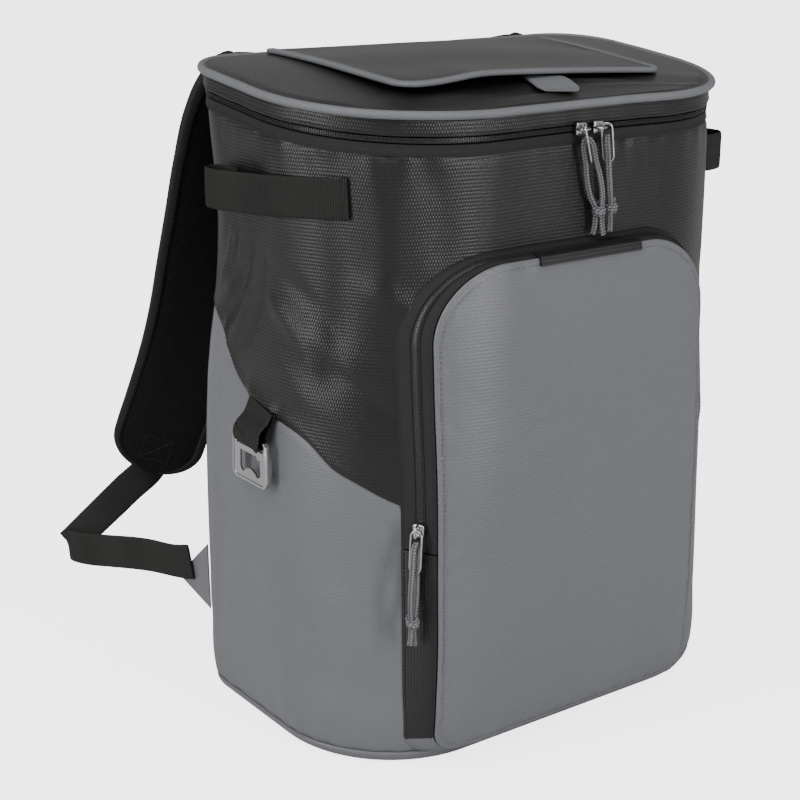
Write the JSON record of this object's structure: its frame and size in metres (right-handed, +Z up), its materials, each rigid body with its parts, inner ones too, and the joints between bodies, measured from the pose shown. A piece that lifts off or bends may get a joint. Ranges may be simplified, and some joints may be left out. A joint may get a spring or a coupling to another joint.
{
  "type": "cooler backpack",
  "caption": "Soft insulated cooler backpack with zipped lid and front pocket, padded straps, side handles and a hanging bottle opener.",
  "frame": {"origin": "middle of the underside of the base panel, on the floor", "axes": "+Z up the bag, -Y out of the front with the pocket, +X to the bag's right side seen from the front"},
  "size_m": [0.378, 0.4249, 0.4441],
  "materials": {
    "dark_coated": "dark gray coated woven fabric with a soft sheen",
    "gray_coated": "mid gray coated woven fabric with a soft sheen",
    "gray_trim": "gray bound edge, piping and tab",
    "zip_tape": "black woven zip tape",
    "zip_teeth": "black coil teeth",
    "webbing": "dark ribbed webbing",
    "mesh": "black padded mesh",
    "binding": "dark twill binding",
    "plastic": "black moulded plastic",
    "metal": "bright plated metal",
    "cord": "braided gray cord with dark flecks"
  },
  "bodies": {
    "bag": {"body_lower": "gray_coated", "body_upper": "dark_coated", "base_panel": "gray_coated", "lid_zip_tape": "zip_tape", "lid_zip_teeth": "zip_teeth", "lid_hinge": "dark_coated", "lid_band": "dark_coated", "lid_piping": "gray_trim", "lid_panel": "dark_coated", "lid_flap": "dark_coated", "flap_binding": "gray_trim", "flap_tab": "gray_trim", "pocket_bottom": "gray_coated", "pocket_gusset_left": "dark_coated", "pocket_gusset_right": "dark_coated", "pocket_zip_outer_tape": "zip_tape", "pocket_zip_teeth": "zip_teeth", "pocket_zip_inner_tape": "zip_tape", "pocket_panel": "gray_coated", "pocket_top_strip": "dark_coated", "side_handle_left": "webbing", "side_handle_right": "webbing", "strap_pad_left": "mesh", "strap_binding_left": "binding", "lower_webbing_left": "webbing", "strap_adjuster_left": "plastic", "side_tab_left": "gray_coated", "strap_pad_right": "mesh", "strap_binding_right": "binding", "lower_webbing_right": "webbing", "strap_adjuster_right": "plastic", "side_tab_right": "gray_coated", "opener_loop": "webbing", "lid_pull_left_slider": "metal", "lid_pull_left_bail": "metal", "lid_pull_left_cord": "cord", "lid_pull_right_slider": "metal", "lid_pull_right_bail": "metal", "lid_pull_right_cord": "cord", "pocket_pull_slider": "metal", "pocket_pull_bail": "metal", "pocket_pull_cord": "cord"},
    "opener": {"bottle_opener": "metal"}
  },
  "joints": [
    {"name": "opener_swing", "type": "hinge", "parent": "bag", "child": "opener", "pos_m": [-0.18019, 0.0082, 0.20801], "axis": [0, 1, 0], "range_deg": [0, 75]}
  ]
}
